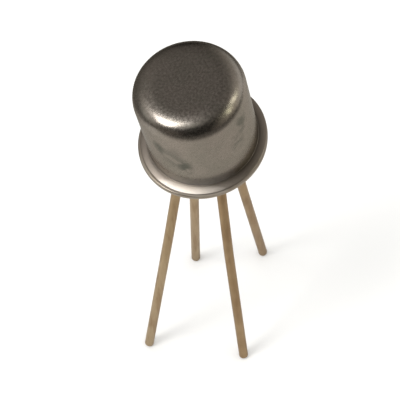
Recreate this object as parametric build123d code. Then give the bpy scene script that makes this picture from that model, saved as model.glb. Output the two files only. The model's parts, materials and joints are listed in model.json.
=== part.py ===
from build123d import *
import math
import os

# Dual-gate field-effect transistor in a small four-lead metal can.
# Lengths are in millimetres and angles in degrees.
# The package is built upright about its own axis, with its seating plane at z = 0 and lead 4 on +X.
# At the end it is leaned and lifted, as it stands on the cut ends of its four spread leads.

# Header: a drawn eyelet with a weld flange, an orientation tab and a raised platform
header_sheet = 0.25
header_flange_radius = 2.75
header_rim_break = 0.07
boss_radius = 1.99
platform_height = 0.95
platform_corner = 0.30
tab_width = 1.04
tab_reach = 3.68
tab_corner = 0.12
tab_angle = 45.0

# Lead circle and glass seal
lead_circle_radius = 1.27
lead_diameter = 0.425
seal_hole_radius = 0.40
glass_recess = 0.05
glass_collar = 0.04

# Can: a cup drawn from nickel sheet and resistance welded to the header's flange
can_sheet = 0.18
can_radius = 2.33
can_top_height = 4.76
can_top_corner = 0.75
can_foot_fillet = 0.10
can_mouth_break = 0.16
can_flange_radius = 2.69
can_flange_rise = 0.07
can_flange_break = 0.06
can_shift = 0.08
can_shift_heading = -30.0

# Chip and its bonds
chip_side = 0.56
chip_thickness = 0.20
preform_side = 0.70
preform_thickness = 0.03
pad_inset = 0.09
wire_diameter = 0.038
ball_radius = 0.045
ball_height = 0.030
wire_rise = 0.34
stitch_length = 0.14
stitch_width = 0.07
post_height = 0.35
source_bond_reach = 0.95

# Stance: how the package leans, and where each lead's end meets the surface
stand_height = 13.21
lean = 6.9
lean_heading = 202.5
bend_drop = 1.20
bend_radius = 2.0
bow_radius = 30.0
tip_break = 0.06

# Each lead: its seat angle on the lead circle, the reach and heading of its end on the surface,
# and a slight bow, with where along the lead it lies and how far it goes to the left
lead_shapes = {
    "lead_1_drain": {"seat": 90.0, "reach": 2.52, "heading": 97.5, "bow_at": 0.45, "bow": 0.10},
    "lead_2_gate_2": {"seat": 180.0, "reach": 4.32, "heading": 192.2, "bow_at": 0.35, "bow": 0.03},
    "lead_3_gate_1": {"seat": 270.0, "reach": 3.46, "heading": 263.3, "bow_at": 0.40, "bow": -0.04},
    "lead_4_source": {"seat": 0.0, "reach": 3.07, "heading": 25.8, "bow_at": 0.30, "bow": 0.22},
}

# The source lead is welded under the platform. The other three pass through glass.
case_lead = "lead_4_source"

# Derived sizes
lead_radius = lead_diameter / 2
eyelet_radius = boss_radius - header_sheet
platform_underside = platform_height - header_sheet
post_top = platform_height + post_height
chip_top = platform_height + preform_thickness + chip_thickness
glass_top = platform_height + glass_collar
stance = (
    Pos(0, 0, stand_height)
    * Rot(0, 0, lean_heading)
    * Rot(0, lean, 0)
    * Rot(0, 0, -lean_heading)
)


def polar(radius, angle, height=0.0):
    """A point at a radius and an angle about the package's axis."""
    turn = math.radians(angle)
    return Vector(radius * math.cos(turn), radius * math.sin(turn), height)


def corner(profile, radius, height):
    """The corner of a flat profile that lies at a radius and a height."""
    return profile.vertices().sort_by_distance((radius, 0, height))[0]


def make_can():
    """The drawn cup. The flange round its open end is crowned, and falls away to its edge."""
    edge = header_sheet + can_sheet
    foot = edge + can_flange_rise
    inside = can_radius - can_sheet
    crown = TangentArc((can_radius, 0, foot), (can_flange_radius, 0, edge), tangent=(1, 0, 0))
    outline = Polyline(
        (can_flange_radius, 0, edge),
        (can_flange_radius, 0, header_sheet),
        (inside, 0, header_sheet),
        (inside, 0, can_top_height - can_sheet),
        (0, 0, can_top_height - can_sheet),
        (0, 0, can_top_height),
        (can_radius, 0, can_top_height),
        (can_radius, 0, foot),
    )
    profile = make_face(outline + crown)
    rounds = [
        (can_radius, can_top_height, can_top_corner),
        (inside, can_top_height - can_sheet, can_top_corner - can_sheet),
        (can_radius, foot, can_foot_fillet),
    ]
    for radius, height, size in rounds:
        profile = fillet(corner(profile, radius, height), size)
    profile = chamfer(corner(profile, inside, header_sheet), can_mouth_break)
    profile = chamfer(corner(profile, can_flange_radius, edge), can_flange_break)
    return Pos(polar(can_shift, can_shift_heading)) * revolve(profile, Axis.Z)


def make_eyelet():
    """The header's drawn shell: flange, tab, boss and the platform that carries the chip."""
    profile = make_face(Polyline(
        (eyelet_radius, 0, 0),
        (header_flange_radius, 0, 0),
        (header_flange_radius, 0, header_sheet),
        (boss_radius, 0, header_sheet),
        (boss_radius, 0, platform_height),
        (0, 0, platform_height),
        (0, 0, platform_underside),
        (eyelet_radius, 0, platform_underside),
        close=True,
    ))
    for height in (0, header_sheet):
        profile = chamfer(corner(profile, header_flange_radius, height), header_rim_break)
    profile = fillet(corner(profile, boss_radius, platform_height), platform_corner)
    shell = revolve(profile, Axis.Z)

    tab_root = (boss_radius + header_flange_radius) / 2
    tab = Box(
        tab_reach - tab_root, tab_width, header_sheet,
        align=(Align.MIN, Align.CENTER, Align.MIN),
    )
    tab = fillet(tab.edges().filter_by(Axis.Z).group_by(Axis.X)[-1], tab_corner)
    shell += Rot(0, 0, tab_angle) * Pos(tab_root, 0, 0) * tab

    for name, shape in lead_shapes.items():
        if name != case_lead:
            hole = Cylinder(seal_hole_radius, 2 * header_sheet)
            shell -= Pos(polar(lead_circle_radius, shape["seat"], platform_height)) * hole
    return shell


def lead_path(shape, top):
    """Corner points of one lead's centre line, from its top down to its cut end."""
    up = Vector(0, 0, 1)
    seat = polar(lead_circle_radius, shape["seat"])
    bend = (stance * Pos(seat - up * bend_drop)).position
    ground = polar(shape["reach"], shape["heading"])
    run = ground - bend
    left = Vector(-run.Y, run.X, 0).normalized()
    knee = bend + run * shape["bow_at"] + left * shape["bow"]

    # The lowest edge of the tilted end just touches the surface.
    slope = math.radians((knee - ground).get_angle(up))
    foot = ground + up * (lead_radius - tip_break) * math.sin(slope)
    upright = stance.inverse()
    knee = (upright * Pos(knee)).position
    foot = (upright * Pos(foot)).position
    return [seat + up * top, seat - up * bend_drop, knee, foot]


def make_lead(name):
    """A round wire, bent below the header, with the edge of its cut end broken."""
    top = platform_underside if name == case_lead else post_top
    points = lead_path(lead_shapes[name], top)
    path = FilletPolyline(*points, radius=[bend_radius, bow_radius])
    start = Plane(origin=points[0], z_dir=(0, 0, -1))
    wire = sweep(start * Circle(lead_radius), path=path)
    end = wire.faces().filter_by(GeomType.PLANE).sort_by_distance(points[-1])[0]
    return chamfer(end.edges(), tip_break)


def make_glass(eyelet, leads):
    """The glass that fills the eyelet and stands as a low collar round each insulated lead."""
    fill = Pos(0, 0, glass_recess) * Cylinder(
        eyelet_radius, platform_underside - glass_recess,
        align=(Align.CENTER, Align.CENTER, Align.MIN),
    )
    for name, shape in lead_shapes.items():
        if name != case_lead:
            collar = Cylinder(
                seal_hole_radius, glass_top - platform_underside,
                align=(Align.CENTER, Align.CENTER, Align.MIN),
            )
            fill += Pos(polar(lead_circle_radius, shape["seat"], platform_underside)) * collar
    fill -= eyelet
    for lead in leads.values():
        fill -= lead
    return fill


def make_slab(side, thickness, underside):
    """A square slab on the package's axis, such as the chip or the solder under it."""
    slab = Box(side, side, thickness, align=(Align.CENTER, Align.CENTER, Align.MIN))
    return Pos(0, 0, underside) * slab


def make_bond_wire(seat, reach, landing):
    """A gold wire from a ball on the chip's pad, over a loop, to a flat stitch at its landing."""
    pad_reach = chip_side / 2 - pad_inset
    half = wire_diameter / 2
    points = [
        (pad_reach, 0, chip_top),
        (pad_reach, 0, chip_top + wire_rise),
        (reach - stitch_length / 2, 0, landing + half),
    ]
    start = Plane(origin=points[0], z_dir=(0, 0, 1))
    wire = sweep(start * Circle(half), path=Polyline(points), transition=Transition.RIGHT)
    ball = Pos(pad_reach, 0, chip_top) * Cylinder(
        ball_radius, ball_height, align=(Align.CENTER, Align.CENTER, Align.MIN),
    )
    stitch = Pos(reach, 0, landing) * Box(
        stitch_length, stitch_width, half, align=(Align.MAX, Align.CENTER, Align.MIN),
    )
    return Rot(0, 0, seat) * (wire + ball + stitch)


# The pieces, built upright
pieces = {"can": make_can(), "header_eyelet": make_eyelet()}
leads = {name: make_lead(name) for name in lead_shapes}
pieces["header_glass"] = make_glass(pieces["header_eyelet"], leads)
pieces.update(leads)
pieces["die_attach"] = make_slab(preform_side, preform_thickness, platform_height)
pieces["die"] = make_slab(chip_side, chip_thickness, platform_height + preform_thickness)

bond_names = {
    "lead_1_drain": "bond_wire_drain",
    "lead_2_gate_2": "bond_wire_gate_2",
    "lead_3_gate_1": "bond_wire_gate_1",
    "lead_4_source": "bond_wire_source",
}
for name, bond in bond_names.items():
    seat = lead_shapes[name]["seat"]
    if name == case_lead:
        pieces[bond] = make_bond_wire(seat, source_bond_reach, platform_height)
    else:
        pieces[bond] = make_bond_wire(seat, lead_circle_radius + stitch_length / 2, post_top)

# The stance, with the origin at the bottom centre of the whole part's box
standing = {name: stance * piece for name, piece in pieces.items()}
boxes = [piece.bounding_box() for piece in standing.values()]
middle_x = (min(box.min.X for box in boxes) + max(box.max.X for box in boxes)) / 2
middle_y = (min(box.min.Y for box in boxes) + max(box.max.Y for box in boxes)) / 2
centre = Pos(-middle_x, -middle_y, 0)

os.makedirs("parts", exist_ok=True)
for name, piece in standing.items():
    export_step(centre * piece, f"parts/{name}.step")
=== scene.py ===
import json
import math

import bpy
from mathutils import Matrix, Quaternion, Vector


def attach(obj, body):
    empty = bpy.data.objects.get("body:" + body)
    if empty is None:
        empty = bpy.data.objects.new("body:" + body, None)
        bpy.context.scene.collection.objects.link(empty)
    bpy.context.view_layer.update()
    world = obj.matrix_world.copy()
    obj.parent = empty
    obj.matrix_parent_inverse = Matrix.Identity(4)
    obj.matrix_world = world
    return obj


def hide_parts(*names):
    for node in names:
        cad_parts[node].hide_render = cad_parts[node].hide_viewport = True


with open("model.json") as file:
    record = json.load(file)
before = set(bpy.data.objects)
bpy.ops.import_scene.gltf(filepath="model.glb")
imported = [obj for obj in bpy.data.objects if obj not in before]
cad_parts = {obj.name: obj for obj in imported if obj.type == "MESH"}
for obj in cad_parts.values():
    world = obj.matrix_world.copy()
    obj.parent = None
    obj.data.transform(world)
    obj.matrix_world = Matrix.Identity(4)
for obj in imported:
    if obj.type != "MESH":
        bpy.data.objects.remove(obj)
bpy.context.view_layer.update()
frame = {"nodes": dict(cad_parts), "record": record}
mounts = {mount["name"]: mount for mount in frame["record"]["mounts"]}


# The table: a plain pale board, far larger than the transistor.
# It is matte paint on a flat panel, and the four lead ends stand on it.
# Reflections in the metal see a painted reflection on it instead of its paint: brightest just
# behind the part, and darker towards the front like a dim room's floor.
floor_size = 1.6
paint_roughness = 0.75
paint_shine = 0.25
paint_dark = (0.86, 0.86, 0.855, 1.0)
paint_light = (0.88, 0.88, 0.875, 1.0)
mottle_scale = 40.0
painted_reflection_way = (-0.09, 0.996, 0.0)
painted_reflection_front, painted_reflection_back = -0.040, 0.028
painted_reflection_tones = [
    (0.17, (0.21, 0.196, 0.178, 1.0)),
    (0.35, (0.40, 0.377, 0.345, 1.0)),
    (0.52, (0.505, 0.486, 0.450, 1.0)),
    (0.72, (0.545, 0.535, 0.515, 1.0)),
]
painted_reflection_front_tone = (0.10, 0.092, 0.082, 1.0)
painted_reflection_back_tone = (0.13, 0.122, 0.11, 1.0)

bpy.ops.object.select_all(action="DESELECT")
bpy.ops.mesh.primitive_plane_add(size=floor_size)
floor = bpy.context.object
floor.name = "floor"

paint = bpy.data.materials.new("pale_board_paint")
paint.use_nodes = True
nodes, links = paint.node_tree.nodes, paint.node_tree.links
shader = nodes["Principled BSDF"]
shader.inputs["Roughness"].default_value = paint_roughness
shader.inputs["Specular IOR Level"].default_value = paint_shine
place = nodes.new("ShaderNodeTexCoord")
mottle = nodes.new("ShaderNodeTexNoise")
mottle.inputs["Scale"].default_value = mottle_scale
tone = nodes.new("ShaderNodeMix")
tone.data_type = "RGBA"
tone.inputs["A"].default_value = paint_dark
tone.inputs["B"].default_value = paint_light
depth = nodes.new("ShaderNodeVectorMath")
depth.operation = "DOT_PRODUCT"
depth.inputs[1].default_value = painted_reflection_way
reach = nodes.new("ShaderNodeMapRange")
reach.inputs["From Min"].default_value = painted_reflection_front
reach.inputs["From Max"].default_value = painted_reflection_back
painted_reflection = nodes.new("ShaderNodeValToRGB")
front, back = painted_reflection.color_ramp.elements
front.color = painted_reflection_front_tone
back.color = painted_reflection_back_tone
for share, tone_there in painted_reflection_tones:
    painted_reflection.color_ramp.elements.new(share).color = tone_there
# Glossy rays see the painted reflection tones, all other rays the plain paint.
ray = nodes.new("ShaderNodeLightPath")
shown = nodes.new("ShaderNodeMix")
shown.data_type = "RGBA"
links.new(place.outputs["Object"], mottle.inputs["Vector"])
links.new(mottle.outputs["Fac"], tone.inputs["Factor"])
links.new(place.outputs["Object"], depth.inputs[0])
links.new(depth.outputs["Value"], reach.inputs["Value"])
links.new(reach.outputs["Result"], painted_reflection.inputs["Fac"])
links.new(ray.outputs["Is Glossy Ray"], shown.inputs["Factor"])
links.new(tone.outputs["Result"], shown.inputs["A"])
links.new(painted_reflection.outputs["Color"], shown.inputs["B"])
links.new(shown.outputs["Result"], shader.inputs["Base Color"])
floor.data.materials.append(paint)


# The light: a dim room with soft glows and a pale backdrop, a window-like panel high on the
# left and two narrow warm lamps on the right. All three lights hang well clear of the part.
light_distance = 0.30
room_tone = (0.0265, 0.0246, 0.0219)
fill_tone = (1.08, 1.08, 1.08, 1.0)
backdrop_tone = (0.90, 0.90, 0.90, 1.0)


def direction(azimuth, elevation):
    """The unit vector that points to an azimuth and an elevation in degrees."""
    turn, rise = math.radians(azimuth), math.radians(elevation)
    across = math.cos(rise)
    return Vector((across * math.cos(turn), across * math.sin(turn), math.sin(rise)))


def panel_light(name, azimuth, elevation, roll, width, height, power, colour):
    """A rectangular light that faces the can from one side, rolled about its own middle."""
    lamp = bpy.data.lights.new(name, "AREA")
    lamp.shape = "RECTANGLE"
    lamp.size = width
    lamp.size_y = height
    lamp.energy = power
    lamp.color = colour
    holder = bpy.data.objects.new(name, lamp)
    aim = Vector(mounts["can_wall"]["pos_m"])
    holder.location = aim + light_distance * direction(azimuth, elevation)
    holder.rotation_mode = "QUATERNION"
    level = direction(azimuth, elevation).to_track_quat("Z", "Y")
    holder.rotation_quaternion = level @ Quaternion((0, 0, 1), math.radians(roll))
    holder.visible_camera = False
    bpy.context.scene.collection.objects.link(holder)


panel_light(
    "window_panel", azimuth=175.0, elevation=57.5, roll=35.0,
    width=0.086, height=0.158, power=0.345, colour=(1.0, 0.985, 0.96),
)
panel_light(
    "warm_lamp_high", azimuth=-19.0, elevation=42.0, roll=0.0,
    width=0.036, height=0.130, power=0.040, colour=(1.0, 0.99, 0.80),
)
panel_light(
    "warm_lamp_low", azimuth=-43.0, elevation=33.0, roll=0.0,
    width=0.030, height=0.140, power=0.031, colour=(1.0, 0.99, 0.74),
)

room = bpy.data.worlds.new("room")
room.use_nodes = True
nodes, links = room.node_tree.nodes, room.node_tree.links
nodes.clear()
compass = nodes.new("ShaderNodeTexCoord")


def glow(azimuth, elevation, spread, strength, colour):
    """A soft round patch of the room that is brighter towards one direction."""
    facing = nodes.new("ShaderNodeVectorMath")
    facing.operation = "DOT_PRODUCT"
    facing.inputs[1].default_value = direction(azimuth, elevation)
    fade = nodes.new("ShaderNodeMapRange")
    fade.interpolation_type = "SMOOTHSTEP"
    fade.inputs["From Min"].default_value = math.cos(math.radians(spread))
    fade.inputs["From Max"].default_value = 1.0
    fade.inputs["To Max"].default_value = strength
    tint = nodes.new("ShaderNodeVectorMath")
    tint.operation = "SCALE"
    tint.inputs[0].default_value = colour
    links.new(compass.outputs["Generated"], facing.inputs[0])
    links.new(facing.outputs["Value"], fade.inputs["Value"])
    links.new(fade.outputs["Result"], tint.inputs["Scale"])
    return tint.outputs["Vector"]


# Each glow: its azimuth, elevation and spread in degrees, its strength and its colour
glows = [
    glow(-30.0, 30.0, 40.0, 0.20, (1.0, 0.90, 0.75)),
    glow(-45.0, 0.0, 45.0, 0.20, (1.0, 0.89, 0.75)),
    glow(15.0, 25.0, 55.0, 0.34, (1.0, 0.93, 0.84)),
    glow(160.0, 40.0, 28.0, 0.35, (1.0, 0.97, 0.90)),
    glow(163.0, 15.0, 18.0, 0.30, (0.96, 1.0, 0.92)),
    glow(-146.0, 64.0, 22.0, 0.32, (1.0, 1.0, 0.92)),
    glow(125.0, 25.0, 50.0, 0.16, (1.0, 0.93, 0.85)),
    glow(-165.0, 5.0, 40.0, 0.13, (1.0, 0.88, 0.76)),
    glow(80.0, 80.0, 55.0, 0.090, (1.0, 0.93, 0.85)),
    glow(15.0, -15.0, 55.0, 0.40, (0.95, 1.0, 1.0)),
]
total = nodes.new("ShaderNodeVectorMath")
total.inputs[0].default_value = room_tone
links.new(glows[0], total.inputs[1])
for patch in glows[1:]:
    added = nodes.new("ShaderNodeVectorMath")
    links.new(total.outputs["Vector"], added.inputs[0])
    links.new(patch, added.inputs[1])
    total = added
lit_room = nodes.new("ShaderNodeBackground")
links.new(total.outputs["Vector"], lit_room.inputs["Color"])
fill = nodes.new("ShaderNodeBackground")
fill.inputs["Color"].default_value = fill_tone
backdrop = nodes.new("ShaderNodeBackground")
backdrop.inputs["Color"].default_value = backdrop_tone
ray = nodes.new("ShaderNodeLightPath")
filled = nodes.new("ShaderNodeMixShader")
seen = nodes.new("ShaderNodeMixShader")
sky = nodes.new("ShaderNodeOutputWorld")
links.new(ray.outputs["Is Diffuse Ray"], filled.inputs["Fac"])
links.new(lit_room.outputs["Background"], filled.inputs[1])
links.new(fill.outputs["Background"], filled.inputs[2])
links.new(ray.outputs["Is Camera Ray"], seen.inputs["Fac"])
links.new(filled.outputs["Shader"], seen.inputs[1])
links.new(backdrop.outputs["Background"], seen.inputs[2])
links.new(seen.outputs["Shader"], sky.inputs["Surface"])
bpy.context.scene.world = room
bpy.context.scene.view_settings.view_transform = "Standard"


# The camera: above and in front of the can, with the picture a few degrees off level.
# Its place and its long lens give the photo's perspective.
camera_azimuth = -106.83
camera_elevation = 57.30
camera_roll = 7.70
camera_distance = 0.07649
camera_aim = Vector((0.000203, 0.000220, 0.009173))
camera_lens = 156.77
camera_sensor = 36.0
camera_near, camera_far = 0.001, 10.0

eye = bpy.data.cameras.new("camera")
eye.lens = camera_lens
eye.sensor_width = camera_sensor
eye.clip_start = camera_near
eye.clip_end = camera_far
camera = bpy.data.objects.new("camera", eye)
sight = direction(camera_azimuth, camera_elevation)
camera.location = camera_aim + camera_distance * sight
camera.rotation_mode = "QUATERNION"
level = sight.to_track_quat("Z", "Y")
camera.rotation_quaternion = level @ Quaternion((0, 0, 1), math.radians(-camera_roll))
bpy.context.scene.collection.objects.link(camera)
bpy.context.scene.camera = camera


# The can: a nickel cup, deep drawn from 0.18 mm sheet, with its mouth flared to a weld flange.
# Its wall is as drawn and tumbled, with a fine matte grain, faint draw lines and handling marks.
# Welding has browned the flange. The foot of the wall is painted darker on its right as painted
# shade, the flange carries a painted highlight on its front left, and the crease at its root is
# painted darker as painted shade.
header_sheet = 0.25
can_sheet = 0.18
can_radius = mounts["can_wall"]["dims"]["r_mm"]
can_wall_length = mounts["can_wall"]["dims"]["length_mm"]
can_top_height = 4.76
can_top_corner = 0.75
can_crown_radius = 2.5
can_crown_turn = math.radians(12.0)
can_foot_fillet = 0.03
can_flange_radius = 2.69
can_flange_rise = 0.07
can_flange_round = 0.05
can_flange_squeeze = 0.06
can_flange_squeeze_heading = -107.0
can_mouth_round = 0.16
crown_steps, corner_steps, inner_corner_steps = 6, 14, 10
fillet_steps, flange_steps, flange_edge_steps, mouth_steps = 8, 10, 8, 6
spin_steps = 160
same_place = 1e-3
weld_distance = 1e-4
can_smooth_angle = math.radians(50)
mm = 0.001  # in metres


def start_outline(name, radius, height):
    """A new mesh of one point, in the plane that is later spun about Z, left in edit mode."""
    bpy.ops.object.select_all(action="DESELECT")
    bpy.ops.mesh.primitive_plane_add(size=1.0)
    piece = bpy.context.object
    piece.name = name
    bpy.ops.object.mode_set(mode="EDIT")
    bpy.ops.mesh.select_all(action="SELECT")
    bpy.ops.mesh.merge(type="CENTER")
    bpy.ops.transform.translate(value=(radius, 0, height))
    return piece


def run_to(radius, height, here):
    """Extrudes the last point of the outline to a new place, and returns that place."""
    step = (radius - here[0], 0, height - here[1])
    bpy.ops.mesh.extrude_region_move(TRANSFORM_OT_translate={"value": step})
    return (radius, height)


def curve_to(centre, turn, steps, here):
    """Spins the last point of the outline about a centre, by an angle from up towards out."""
    bpy.ops.mesh.spin(steps=steps, angle=-turn, center=(centre[0], 0, centre[1]), axis=(0, 1, 0))
    across, up = here[0] - centre[0], here[1] - centre[1]
    return (
        centre[0] + across * math.cos(turn) + up * math.sin(turn),
        centre[1] + up * math.cos(turn) - across * math.sin(turn),
    )


def pick_points(piece, chosen):
    """Selects the points of a mesh in edit mode whose place the rule accepts, and nothing else."""
    bpy.ops.mesh.select_mode(type="VERT")
    bpy.ops.mesh.select_all(action="DESELECT")
    bpy.ops.object.mode_set(mode="OBJECT")
    for point in piece.data.vertices:
        point.select = bool(chosen(point.co))
    bpy.ops.object.mode_set(mode="EDIT")


def round_corner(piece, radius, height, size, segments):
    """Rounds one square corner of the outline."""
    corner = Vector((radius, 0, height))
    pick_points(piece, lambda place: (place - corner).length < same_place)
    bpy.ops.mesh.bevel(affect="VERTICES", offset_type="OFFSET", offset=size, segments=segments)


def spin_outline(piece):
    """Spins the outline once round Z, closes its seam and poles, and leaves edit mode."""
    bpy.ops.mesh.select_all(action="SELECT")
    bpy.ops.mesh.spin(steps=spin_steps, angle=2 * math.pi, center=(0, 0, 0), axis=(0, 0, 1))
    bpy.ops.mesh.select_all(action="SELECT")
    bpy.ops.mesh.remove_doubles(threshold=weld_distance)
    bpy.ops.mesh.normals_make_consistent(inside=False)
    bpy.ops.object.mode_set(mode="OBJECT")


def stand_on(piece, origin, axis):
    """Scales a piece from millimetres, tilts its Z to an axis and moves it to its place."""
    tilt = Vector((0, 0, 1)).rotation_difference(axis).to_matrix().to_4x4()
    piece.matrix_world = Matrix.Translation(origin) @ tilt @ Matrix.Scale(mm, 4)
    bpy.ops.object.select_all(action="DESELECT")
    piece.select_set(True)
    bpy.context.view_layer.objects.active = piece
    bpy.ops.object.transform_apply(location=True, rotation=True, scale=True)


package_axis = Vector(mounts["can_wall"]["axis"])
can_middle = Vector(mounts["can_wall"]["pos_m"])
middle_height = can_top_height - can_top_corner - can_wall_length / 2
can_seat = can_middle - package_axis * middle_height * mm
mouth = header_sheet
foot = header_sheet + can_sheet + can_flange_rise
bore = can_radius - can_sheet
ceiling = can_top_height - can_sheet

# The flange is one arc from the wall's fillet to the round of its edge.
can_flange_width = can_flange_radius - can_radius
crown_radius = (can_flange_width**2 + can_flange_rise**2) / (2 * can_flange_rise)
crown_centre = (can_radius, foot - crown_radius)
fillet_lean = math.asin(can_foot_fillet / (crown_radius + can_foot_fillet))
fillet_height = crown_centre[1] + (crown_radius + can_foot_fillet) * math.cos(fillet_lean)
edge_lean = math.asin((can_flange_width - can_flange_round) / (crown_radius - can_flange_round))
edge_height = crown_centre[1] + (crown_radius - can_flange_round) * math.cos(edge_lean)

# The top is flat in the middle, then falls along a wide arc into the round of its corner.
top_drop = can_crown_radius * (1 - math.cos(can_crown_turn))
top_round = (can_top_corner - top_drop) / math.cos(can_crown_turn)
round_centre = (can_radius - top_round, can_top_height - can_top_corner)
crown_start = round_centre[0] - (can_crown_radius - top_round) * math.sin(can_crown_turn)
crown_middle = (crown_start, can_top_height - can_crown_radius)

can = start_outline("drawn_can", 0, can_top_height)
here = run_to(crown_start, can_top_height, (0, can_top_height))
here = curve_to(crown_middle, can_crown_turn, crown_steps, here)
here = curve_to(round_centre, math.pi / 2 - can_crown_turn, corner_steps, here)
here = run_to(can_radius, fillet_height, here)
fillet_centre = (can_radius + can_foot_fillet, fillet_height)
here = curve_to(fillet_centre, fillet_lean - math.pi / 2, fillet_steps, here)
here = curve_to(crown_centre, edge_lean - fillet_lean, flange_steps, here)
edge_centre = (can_flange_radius - can_flange_round, edge_height)
here = curve_to(edge_centre, math.pi / 2 - edge_lean, flange_edge_steps, here)
for radius, height in [(can_flange_radius, mouth), (bore, mouth), (bore, ceiling), (0, ceiling)]:
    here = run_to(radius, height, here)
round_corner(can, bore, ceiling, can_top_corner - can_sheet, inner_corner_steps)
round_corner(can, bore, mouth, can_mouth_round, mouth_steps)
spin_outline(can)

# The weld electrode has squeezed the flange slightly wider at the front.
squeeze_way = direction(can_flange_squeeze_heading, 0)
for point in can.data.vertices:
    across = Vector((point.co.x, point.co.y, 0))
    share = (across.length - can_radius) / can_flange_width
    if share > 0 and point.co.z < foot:
        facing = max(0.0, across.normalized().dot(squeeze_way))
        point.co += across.normalized() * can_flange_squeeze * share * facing**2
stand_on(can, can_seat, package_axis)
bpy.ops.object.shade_smooth_by_angle(angle=can_smooth_angle)

# Finish: tones, sizes of the patterns in features per metre, and heights of the bumps in metres
# Three of these tones are painted light: the flange's paler tones are a painted highlight, and the
# darker tones for the wall's right foot and the flange's crease are painted shade.
edge_tint = (0.60, 0.58, 0.545, 1.0)
dull_tones = ((0.345, 0.320, 0.285), (0.385, 0.345, 0.312))
clean_tones = ((0.415, 0.385, 0.345), (0.460, 0.415, 0.378))
painted_highlight_tones = ((0.50, 0.455, 0.41), (0.60, 0.555, 0.51))
brown_tones = ((0.37, 0.325, 0.286), (0.435, 0.385, 0.341))
smudge_tone = (0.150, 0.158, 0.140)
painted_shade_tone = (0.165, 0.148, 0.130)
painted_crevice_shade_tone = (0.22, 0.196, 0.172)
grain_scale, dent_scale, cloud_scale = 11000.0, 2600.0, 900.0
draw_line_scale, draw_line_stretch = 7000.0, 0.06
film_scale, smudge_stretch = 2100.0, 0.6
plain_detail, fine_detail = 2.0, 3.0
patch_low, patch_high = 0.35, 0.65
grain_low, grain_high = 0.3, 0.7
film_low, film_high = 0.36, 0.54
draw_line_height, dent_height, grain_height = 1.5e-6, 6.5e-6, 2.5e-6
bump_strength = 0.5
satin_low, satin_high = 0.158, 0.248
foot_roughness = 0.20
flange_root_roughness, flange_roughness = 0.06, -0.05
painted_shade_share, oxide_share = 0.70, 0.30

# Where the foot's marks, its painted shade and the flange's painted highlight begin and end:
# outwards from the axis, up the wall, and round it
wall = can_radius * mm
root = (foot - middle_height) * mm
tint_start, tint_full = 1.0003 * wall, 1.003 * wall
flange_start, flange_full = 1.0005 * wall, 1.02 * wall
painted_crevice_shade_start, painted_crevice_shade_end = 1.005 * wall, 1.05 * wall
foot_start, oxide_end, satin_end = root + 0.0001, root + 0.0006, root + 0.0009
painted_shade_start, painted_shade_end = root + 0.0004, root + 0.0012
front_left_way, painted_highlight_start, painted_highlight_full = direction(-127.0, 0.0), 0.945 * wall, 0.992 * wall
oxide_start, oxide_full = 0.60 * wall, 0.97 * wall
painted_shade_way, painted_shade_near, painted_shade_full = direction(-30.0, 0.0), 0.68 * wall, 0.92 * wall

# Smudges: the turn round the wall in degrees, the height from its middle in millimetres,
# the size in millimetres and the depth of tone
smudges = [
    (-126.0, -0.30, 0.42, 0.85), (-136.0, 0.25, 0.75, 0.45), (-151.0, 0.76, 0.36, 0.75),
    (-56.0, 1.10, 0.48, 0.68), (-66.0, 0.30, 0.45, 0.60),
]
smudge_core = 0.3


def own_axis(nodes, links, origin):
    """Coordinates in metres about the package's own axis, from an origin on it."""
    place = nodes.new("ShaderNodeTexCoord")
    upright = nodes.new("ShaderNodeMapping")
    upright.vector_type = "TEXTURE"
    upright.inputs["Location"].default_value = origin
    tilt = Vector((0, 0, 1)).rotation_difference(package_axis)
    upright.inputs["Rotation"].default_value = tilt.to_euler()
    links.new(place.outputs["Object"], upright.inputs["Vector"])
    return upright.outputs["Vector"]


def stretched(nodes, links, vector, share):
    """Coordinates shortened along Z to a share, which draws patterns out along it."""
    stretch = nodes.new("ShaderNodeMapping")
    stretch.inputs["Scale"].default_value = (1.0, 1.0, share)
    links.new(vector, stretch.inputs["Vector"])
    return stretch.outputs["Vector"]


def noise(nodes, links, vector, scale, detail=plain_detail):
    """A noise pattern, its scale in features per metre."""
    pattern = nodes.new("ShaderNodeTexNoise")
    pattern.inputs["Scale"].default_value = scale
    pattern.inputs["Detail"].default_value = detail
    links.new(vector, pattern.inputs["Vector"])
    return pattern.outputs["Fac"]


def span(nodes, links, value, low, high, to_low, to_high):
    """Stretches part of a pattern's range to new limits."""
    fit = nodes.new("ShaderNodeMapRange")
    fit.inputs["From Min"].default_value = low
    fit.inputs["From Max"].default_value = high
    fit.inputs["To Min"].default_value = to_low
    fit.inputs["To Max"].default_value = to_high
    links.new(value, fit.inputs["Value"])
    return fit.outputs["Result"]


def joined(nodes, links, operation, first, second):
    """The sum, product or other result of two patterns, the first of which may be a number."""
    result = nodes.new("ShaderNodeMath")
    result.operation = operation
    if isinstance(first, float):
        result.inputs[0].default_value = first
    else:
        links.new(first, result.inputs[0])
    links.new(second, result.inputs[1])
    return result.outputs["Value"]


def towards(nodes, links, vector, way):
    """How far a place lies towards a direction, in metres."""
    facing = nodes.new("ShaderNodeVectorMath")
    facing.operation = "DOT_PRODUCT"
    facing.inputs[1].default_value = way
    links.new(vector, facing.inputs[0])
    return facing.outputs["Value"]


def blend_colour(nodes, links, share, first, second):
    """A mix of two colours, or of a colour and another mix."""
    mix = nodes.new("ShaderNodeMix")
    mix.data_type = "RGBA"
    links.new(share, mix.inputs["Factor"])
    for name, colour in (("A", first), ("B", second)):
        if isinstance(colour, tuple):
            mix.inputs[name].default_value = (*colour, 1.0)
        else:
            links.new(colour, mix.inputs[name])
    return mix.outputs["Result"]


def raise_surface(nodes, links, height, distance, under=None):
    """A bump of a real height in metres, on top of another one."""
    bump = nodes.new("ShaderNodeBump")
    bump.inputs["Distance"].default_value = distance
    bump.inputs["Strength"].default_value = bump_strength
    links.new(height, bump.inputs["Height"])
    if under is not None:
        links.new(under, bump.inputs["Normal"])
    return bump.outputs["Normal"]


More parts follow.
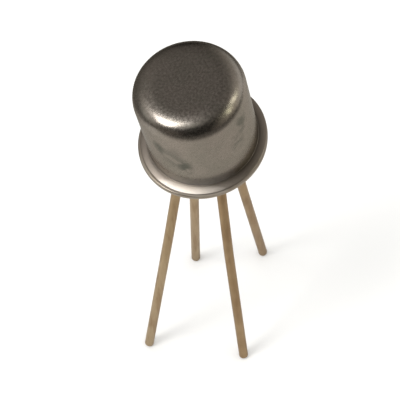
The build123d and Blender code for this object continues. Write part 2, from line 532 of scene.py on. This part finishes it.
nickel = bpy.data.materials.new("drawn_nickel")
nickel.use_nodes = True
nodes, links = nickel.node_tree.nodes, nickel.node_tree.links
shader = nodes["Principled BSDF"]
shader.inputs["Specular Tint"].default_value = edge_tint
local = own_axis(nodes, links, can_middle)
grain = noise(nodes, links, local, grain_scale, fine_detail)
dents = noise(nodes, links, local, dent_scale)
cloud = noise(nodes, links, local, cloud_scale, fine_detail)
film = noise(nodes, links, local, film_scale)
drawn_out = stretched(nodes, links, local, draw_line_stretch)
draw_lines = noise(nodes, links, drawn_out, draw_line_scale)

parts = nodes.new("ShaderNodeSeparateXYZ")
links.new(local, parts.inputs["Vector"])
upwards = parts.outputs["Z"]
flat = nodes.new("ShaderNodeVectorMath")
flat.operation = "MULTIPLY"
flat.inputs[1].default_value = (1.0, 1.0, 0.0)
links.new(local, flat.inputs[0])
length = nodes.new("ShaderNodeVectorMath")
length.operation = "LENGTH"
links.new(flat.outputs["Vector"], length.inputs[0])
outwards = length.outputs["Value"]
front_left_side = towards(nodes, links, local, front_left_way)
painted_shade_side = towards(nodes, links, local, painted_shade_way)

# The bare metal, cleaner on the grain's peaks
patchy = span(nodes, links, cloud, patch_low, patch_high, 0.0, 1.0)
dull = blend_colour(nodes, links, patchy, *dull_tones)
clean = blend_colour(nodes, links, patchy, *clean_tones)
peaks = span(nodes, links, grain, patch_low, patch_high, 0.0, 1.0)
colour = blend_colour(nodes, links, peaks, dull, clean)

# The smudges, broken up by a film of handling marks
smear = stretched(nodes, links, local, smudge_stretch)
for turn_there, height_there, size, depth_there in smudges:
    centre = wall * direction(turn_there, 0)
    centre.z = smudge_stretch * height_there * mm
    near = nodes.new("ShaderNodeVectorMath")
    near.operation = "DISTANCE"
    near.inputs[1].default_value = centre
    links.new(smear, near.inputs[0])
    core, rim = smudge_core * size * mm, size * mm
    fade = span(nodes, links, near.outputs["Value"], core, rim, 1.0, 0.0)
    filmy = span(nodes, links, film, film_low, film_high, 0.0, depth_there)
    patch = joined(nodes, links, "MULTIPLY", fade, filmy)
    colour = blend_colour(nodes, links, patch, colour, smudge_tone)

# The foot: painted shade on the right, and a flange that is brown except for a painted highlight on
# its front left
# Painted shade: the foot of the wall is painted darker on its right, where the part's shadow on the
# table is reflected.
painted_shade_round = span(nodes, links, painted_shade_side, painted_shade_near, painted_shade_full, 0.0, painted_shade_share)
painted_shade_up = span(nodes, links, upwards, painted_shade_start, painted_shade_end, 1.0, 0.0)
painted_shade = joined(nodes, links, "MULTIPLY", painted_shade_round, painted_shade_up)
colour = blend_colour(nodes, links, painted_shade, colour, painted_shade_tone)
# Painted highlight: the flange is painted paler on its front left, where the window panel's
# reflection falls.
painted_highlight = blend_colour(nodes, links, grain, *painted_highlight_tones)
brown = blend_colour(nodes, links, grain, *brown_tones)
painted_highlight_share = span(nodes, links, front_left_side, painted_highlight_start, painted_highlight_full, 0.0, 1.0)
flange_colour = blend_colour(nodes, links, painted_highlight_share, brown, painted_highlight)
# Painted shade: the flange is painted darker in the crease at its root.
painted_crevice_shade = span(nodes, links, outwards, painted_crevice_shade_start, painted_crevice_shade_end, 1.0, 0.0)
flange_colour = blend_colour(nodes, links, painted_crevice_shade, flange_colour, painted_crevice_shade_tone)
tinted = span(nodes, links, outwards, tint_start, tint_full, 0.0, 1.0)
colour = blend_colour(nodes, links, tinted, colour, flange_colour)
links.new(colour, shader.inputs["Base Color"])

# A thin scale of oxide on the wall's foot, which takes some of the metal's shine
oxide_up = span(nodes, links, upwards, foot_start, oxide_end, oxide_share, 0.0)
oxide_round = span(nodes, links, front_left_side, oxide_start, oxide_full, 0.0, 1.0)
oxide = joined(nodes, links, "MULTIPLY", oxide_up, oxide_round)
bare_again = span(nodes, links, outwards, flange_start, flange_full, 1.0, 0.0)
oxide = joined(nodes, links, "MULTIPLY", oxide, bare_again)
links.new(joined(nodes, links, "SUBTRACT", 1.0, oxide), shader.inputs["Metallic"])

roughness_range = (flange_root_roughness, flange_roughness)
on_flange = span(nodes, links, outwards, flange_start, flange_full, *roughness_range)
near_root = span(nodes, links, upwards, foot_start, satin_end, foot_roughness, 0.0)
rougher = joined(nodes, links, "MAXIMUM", on_flange, near_root)
satin = span(nodes, links, grain, grain_low, grain_high, satin_low, satin_high)
links.new(joined(nodes, links, "ADD", satin, rougher), shader.inputs["Roughness"])
surface = raise_surface(nodes, links, draw_lines, draw_line_height)
surface = raise_surface(nodes, links, dents, dent_height, surface)
links.new(raise_surface(nodes, links, grain, grain_height, surface), shader.inputs["Normal"])
can.data.materials.append(nickel)
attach(can, "root")
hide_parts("can")


# The header: a drawn shell of nickel-iron-cobalt alloy, flashed with nickel and gold, with the
# can welded to its flange. Its tab lies between leads 1 and 4, and marks lead 1's side.
# Three holes in its platform are filled by the glass, and the fourth lead butts against it.
header_flange_radius = 2.75
header_rim_round = 0.07
boss_radius = 1.99
platform_height = 0.95
platform_corner = 0.30
tab_width = 1.04
tab_reach = 3.68
tab_corner = 0.12
tab_angle = 45.0
can_shift = 0.08
can_shift_heading = -30.0
seal_hole_radius = 0.40
seal_hole_sides = 48
seal_hole_cut = 0.9
lead_circle_radius = 1.27
case_lead = "lead_4_source"
lead_seats = {
    "lead_1_drain": 90.0,
    "lead_2_gate_2": 180.0,
    "lead_3_gate_1": 270.0,
    case_lead: 0.0,
}
header_round_steps = 6
softened_edge, softened_steps = 0.02, 2
softened_angle = math.radians(60)
header_smooth_angle = math.radians(40)

tilt = Vector((0, 0, 1)).rotation_difference(package_axis).to_matrix()
header_origin = can_seat - tilt @ direction(can_shift_heading, 0) * can_shift * mm

eyelet_radius = boss_radius - header_sheet
underside = platform_height - header_sheet
header = start_outline("header_shell", eyelet_radius, 0)
here = (eyelet_radius, 0)
corners = [
    (header_flange_radius, 0),
    (header_flange_radius, header_sheet),
    (boss_radius, header_sheet),
    (boss_radius, platform_height),
    (0, platform_height),
    (0, underside),
    (eyelet_radius, underside),
    (eyelet_radius, 0),
]
for radius, height in corners:
    here = run_to(radius, height, here)
bpy.ops.mesh.select_all(action="SELECT")
bpy.ops.mesh.remove_doubles(threshold=weld_distance)
round_corner(header, header_flange_radius, 0, header_rim_round, header_round_steps)
round_corner(header, header_flange_radius, header_sheet, header_rim_round, header_round_steps)
round_corner(header, boss_radius, platform_height, platform_corner, header_round_steps)
spin_outline(header)

# Each face of the platform becomes one flat face, without its fan of triangles.
bpy.ops.object.mode_set(mode="EDIT")
pick_points(header, lambda place: math.hypot(place.x, place.y) < same_place)
bpy.ops.mesh.dissolve_verts()
bpy.ops.object.mode_set(mode="OBJECT")

bpy.ops.object.select_all(action="DESELECT")
bpy.ops.mesh.primitive_cube_add(size=1.0)
tab = bpy.context.object
tab_root = (boss_radius + header_flange_radius) / 2
tab.scale = (tab_reach - tab_root, tab_width, header_sheet)
bpy.ops.object.transform_apply(location=False, rotation=False, scale=True)
tab.location = ((tab_reach + tab_root) / 2, 0, header_sheet / 2)
bpy.ops.object.transform_apply(location=True, rotation=False, scale=False)
bpy.ops.object.mode_set(mode="EDIT")
bpy.ops.mesh.select_mode(type="EDGE")
bpy.ops.mesh.select_all(action="DESELECT")
bpy.ops.object.mode_set(mode="OBJECT")
for edge in tab.data.edges:
    first, second = (tab.data.vertices[i].co for i in edge.vertices)
    at_far_end = min(first.x, second.x) > (tab_reach + tab_root) / 2
    edge.select = at_far_end and abs(first.z - second.z) > header_sheet / 2
bpy.ops.object.mode_set(mode="EDIT")
bpy.ops.mesh.bevel(offset=tab_corner, segments=header_round_steps)
bpy.ops.object.mode_set(mode="OBJECT")
tab.rotation_euler = (0, 0, math.radians(tab_angle))
bpy.ops.object.transform_apply(location=False, rotation=True, scale=False)


def combine(piece, other, operation):
    """Joins another mesh to a piece, or cuts it out of the piece, and removes the other mesh."""
    bpy.ops.object.select_all(action="DESELECT")
    piece.select_set(True)
    bpy.context.view_layer.objects.active = piece
    step = piece.modifiers.new("combine", "BOOLEAN")
    step.operation = operation
    step.solver = "EXACT"
    step.object = other
    bpy.ops.object.modifier_apply(modifier="combine")
    bpy.data.objects.remove(other)


combine(header, tab, "UNION")
soften = header.modifiers.new("edges", "BEVEL")
soften.width = softened_edge
soften.segments = softened_steps
soften.limit_method = "ANGLE"
soften.angle_limit = softened_angle
bpy.ops.object.modifier_apply(modifier="edges")
for name, seat_angle in lead_seats.items():
    if name != case_lead:
        centre = lead_circle_radius * direction(seat_angle, 0)
        centre.z = platform_height
        bpy.ops.object.select_all(action="DESELECT")
        bpy.ops.mesh.primitive_cylinder_add(
            vertices=seal_hole_sides, radius=seal_hole_radius, depth=seal_hole_cut, location=centre,
        )
        combine(header, bpy.context.object, "DIFFERENCE")
stand_on(header, header_origin, package_axis)
bpy.ops.object.shade_smooth_by_angle(angle=header_smooth_angle)

plating_tones = ((0.44, 0.385, 0.325), (0.51, 0.455, 0.39))
plating_roughness = (0.34, 0.44)
plating_grain_scale = 9000.0
plating_grain_height = 2e-6
plating = bpy.data.materials.new("header_plating")
plating.use_nodes = True
nodes, links = plating.node_tree.nodes, plating.node_tree.links
shader = nodes["Principled BSDF"]
shader.inputs["Metallic"].default_value = 1.0
local = own_axis(nodes, links, header_origin)
grain = noise(nodes, links, local, plating_grain_scale, fine_detail)
cloud = noise(nodes, links, local, cloud_scale, fine_detail)
patchy = span(nodes, links, cloud, patch_low, patch_high, 0.0, 1.0)
links.new(blend_colour(nodes, links, patchy, *plating_tones), shader.inputs["Base Color"])
satin = span(nodes, links, grain, grain_low, grain_high, *plating_roughness)
links.new(satin, shader.inputs["Roughness"])
links.new(raise_surface(nodes, links, grain, plating_grain_height), shader.inputs["Normal"])
header.data.materials.append(plating)
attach(header, "root")
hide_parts("header_eyelet")


# The four leads: drawn alloy wire, 0.425 mm thick, flashed with gold and dulled by handling.
# Three pass through the glass and the fourth is welded to the header. All were bent outwards
# by hand, and each runs from its seat over one bend and a slight bow to its straight end.
lead_radius = 0.2125
lead_sides = 32
post_height = 0.35
bend_drop = 1.20
bend_radius = 2.0
bow_radius = 30.0
tip_break = 0.06
tip_round = 0.07
bend_steps, bow_steps, tip_steps = 8, 6, 5
knee_passes = 6
lead_smooth_angle = math.radians(50)

upper_tones = ((0.525, 0.382, 0.224), (0.61, 0.462, 0.284))
lower_tones = ((0.525, 0.397, 0.256), (0.61, 0.482, 0.326))
darker_lead_tones = ((0.405, 0.268, 0.147), (0.515, 0.36, 0.208))
stain_tone = (0.40, 0.265, 0.155)
fade_top, fade_bottom = 0.012, 0.0
front_way, front_start, front_full, front_share = (0.5, -0.85, 0.0), 0.0009, 0.0012, 0.75
right_way, right_start, right_full, right_share = (0.97, 0.25, 0.0), 0.0013, 0.0018, 0.60
lead_cloud_scale = 700.0
streak_scale, streak_stretch, streak_height = 9000.0, 0.08, 3e-6
stain_scale, stain_stretch, stain_share = 4200.0, 0.10, 0.65
stain_low, stain_high = 0.50, 0.68
lead_roughness = (0.34, 0.46)

gold = bpy.data.materials.new("dulled_gold_flash")
gold.use_nodes = True
nodes, links = gold.node_tree.nodes, gold.node_tree.links
shader = nodes["Principled BSDF"]
shader.inputs["Metallic"].default_value = 1.0
place = nodes.new("ShaderNodeTexCoord")
local = place.outputs["Object"]
drawn_out = stretched(nodes, links, local, streak_stretch)
streak = noise(nodes, links, drawn_out, streak_scale, fine_detail)
cloud = noise(nodes, links, local, lead_cloud_scale, fine_detail)
patchy = span(nodes, links, cloud, patch_low, patch_high, 0.0, 1.0)
parts = nodes.new("ShaderNodeSeparateXYZ")
links.new(local, parts.inputs["Vector"])
# Towards the header the gold is painted browner and darker: partly dulled flash, partly painted
# shade under the can.
fade = span(nodes, links, parts.outputs["Z"], fade_top, fade_bottom, 0.0, 1.0)
upper = blend_colour(nodes, links, patchy, *upper_tones)
lower = blend_colour(nodes, links, patchy, *lower_tones)
colour = blend_colour(nodes, links, fade, upper, lower)

# The leads at the front right and the back right are darker and browner, and all have stain
# streaks.
darker_lead = blend_colour(nodes, links, patchy, *darker_lead_tones)
frontwards = towards(nodes, links, local, front_way)
darker_share = span(nodes, links, frontwards, front_start, front_full, 0.0, front_share)
colour = blend_colour(nodes, links, darker_share, colour, darker_lead)
rightwards = towards(nodes, links, local, right_way)
darker_share = span(nodes, links, rightwards, right_start, right_full, 0.0, right_share)
colour = blend_colour(nodes, links, darker_share, colour, darker_lead)
drawn_out = stretched(nodes, links, local, stain_stretch)
stain_pattern = noise(nodes, links, drawn_out, stain_scale)
stain = span(nodes, links, stain_pattern, stain_low, stain_high, 0.0, stain_share)
links.new(blend_colour(nodes, links, stain, colour, stain_tone), shader.inputs["Base Color"])
satin = span(nodes, links, streak, grain_low, grain_high, *lead_roughness)
links.new(satin, shader.inputs["Roughness"])
links.new(raise_surface(nodes, links, streak, streak_height), shader.inputs["Normal"])


def bend_here(corner, incoming, outgoing, radius, steps):
    """Spins the selected end of the wire round a bend, which starts short of the corner."""
    turn = incoming.angle(outgoing)
    axis = incoming.cross(outgoing).normalized()
    entry = corner - incoming * radius * math.tan(turn / 2)
    centre = entry + axis.cross(incoming) * radius
    bpy.ops.mesh.spin(steps=steps, angle=-turn, center=centre, axis=axis)


def draw_out(distance, heading):
    """Extrudes the selected end of the wire straight on."""
    bpy.ops.mesh.extrude_region_move(TRANSFORM_OT_translate={"value": heading * distance})


for name, seat_angle in lead_seats.items():
    pin = mounts[name + "_pin"]
    end_run = Vector(pin["axis"])
    half_run = pin["dims"]["length_mm"] / 2
    straight_start = Vector(pin["pos_m"]) / mm - end_run * half_run
    seat = header_origin / mm + tilt @ (lead_circle_radius * direction(seat_angle, 0))
    down = -package_axis
    bend = seat + down * bend_drop
    crown = seat - down * (underside if name == case_lead else platform_height + post_height)

    # The bow takes up some of the middle and end stretches, so its corner is found in passes.
    knee = straight_start
    for _ in range(knee_passes):
        upper_run = (knee - bend).normalized()
        back = bow_radius * math.tan(upper_run.angle(end_run) / 2)
        knee = straight_start - end_run * back
    tangent = bend_radius * math.tan(down.angle(upper_run) / 2)

    bpy.ops.object.select_all(action="DESELECT")
    bpy.ops.mesh.primitive_circle_add(vertices=lead_sides, radius=lead_radius, fill_type="NGON")
    lead = bpy.context.object
    lead.name = name.replace("lead", "wire")
    lead.matrix_world = Matrix.Translation(crown) @ tilt.to_4x4()
    bpy.ops.object.transform_apply(location=True, rotation=True, scale=True)
    bpy.ops.object.mode_set(mode="EDIT")
    bpy.ops.mesh.select_all(action="SELECT")
    draw_out((bend - crown).length - tangent, down)
    bend_here(bend, down, upper_run, bend_radius, bend_steps)
    draw_out((knee - bend).length - tangent - back, upper_run)
    bend_here(knee, upper_run, end_run, bow_radius, bow_steps)
    draw_out(2 * half_run + tip_break, end_run)
    bpy.ops.mesh.bevel(offset=tip_round, segments=tip_steps)
    bpy.ops.mesh.select_all(action="SELECT")
    bpy.ops.mesh.normals_make_consistent(inside=False)
    bpy.ops.object.mode_set(mode="OBJECT")
    lead.matrix_world = Matrix.Scale(mm, 4)
    bpy.ops.object.transform_apply(location=True, rotation=True, scale=True)
    bpy.ops.object.shade_smooth_by_angle(angle=lead_smooth_angle)
    lead.data.materials.append(gold)
    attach(lead, "root")
    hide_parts(name)


# The seal: dark glass, fused into the eyelet from below round the three insulated leads.
# It keeps a smooth fire-polished skin, faintly clouded.
glass_tones = ((0.012, 0.020, 0.018), (0.045, 0.06, 0.055))
glass_roughness = (0.08, 0.2)
glass_cloud_scale = 1500.0
glass_skin = 0.6

glass = bpy.data.materials.new("sealing_glass")
glass.use_nodes = True
nodes, links = glass.node_tree.nodes, glass.node_tree.links
shader = nodes["Principled BSDF"]
shader.inputs["Coat Weight"].default_value = glass_skin
place = nodes.new("ShaderNodeTexCoord")
cloud = noise(nodes, links, place.outputs["Object"], glass_cloud_scale, fine_detail)
links.new(blend_colour(nodes, links, cloud, *glass_tones), shader.inputs["Base Color"])
polish = span(nodes, links, cloud, grain_low, grain_high, *glass_roughness)
links.new(polish, shader.inputs["Roughness"])
frame["nodes"]["header_glass"].data.materials.clear()
frame["nodes"]["header_glass"].data.materials.append(glass)


# Inside the can: the silicon chip on its gold alloy preform, and four ball-bonded gold wires.
# They are sealed in dry gas and show only when the can is cut away.
def inner_finish(name, slot_nodes, tones, metallic, roughness, scale):
    """A finish for the pieces under the can, mottled at a scale in features per metre."""
    finish = bpy.data.materials.new(name)
    finish.use_nodes = True
    nodes, links = finish.node_tree.nodes, finish.node_tree.links
    shader = nodes["Principled BSDF"]
    shader.inputs["Metallic"].default_value = metallic
    place = nodes.new("ShaderNodeTexCoord")
    mottle = noise(nodes, links, place.outputs["Object"], scale, fine_detail)
    links.new(blend_colour(nodes, links, mottle, *tones), shader.inputs["Base Color"])
    polish = span(nodes, links, mottle, grain_low, grain_high, *roughness)
    links.new(polish, shader.inputs["Roughness"])
    for node in slot_nodes:
        frame["nodes"][node].data.materials.clear()
        frame["nodes"][node].data.materials.append(finish)


inner_finish(
    "bond_gold", ["bond_wire_drain", "bond_wire_gate_2", "bond_wire_gate_1", "bond_wire_source"],
    tones=((0.85, 0.60, 0.22), (0.95, 0.72, 0.32)), metallic=1.0,
    roughness=(0.18, 0.30), scale=20000.0,
)
inner_finish(
    "preform_gold", ["die_attach"],
    tones=((0.70, 0.52, 0.24), (0.82, 0.66, 0.34)), metallic=1.0,
    roughness=(0.30, 0.45), scale=9000.0,
)
inner_finish(
    "silicon", ["die"],
    tones=((0.10, 0.11, 0.14), (0.16, 0.17, 0.21)), metallic=0.6,
    roughness=(0.08, 0.16), scale=6000.0,
)
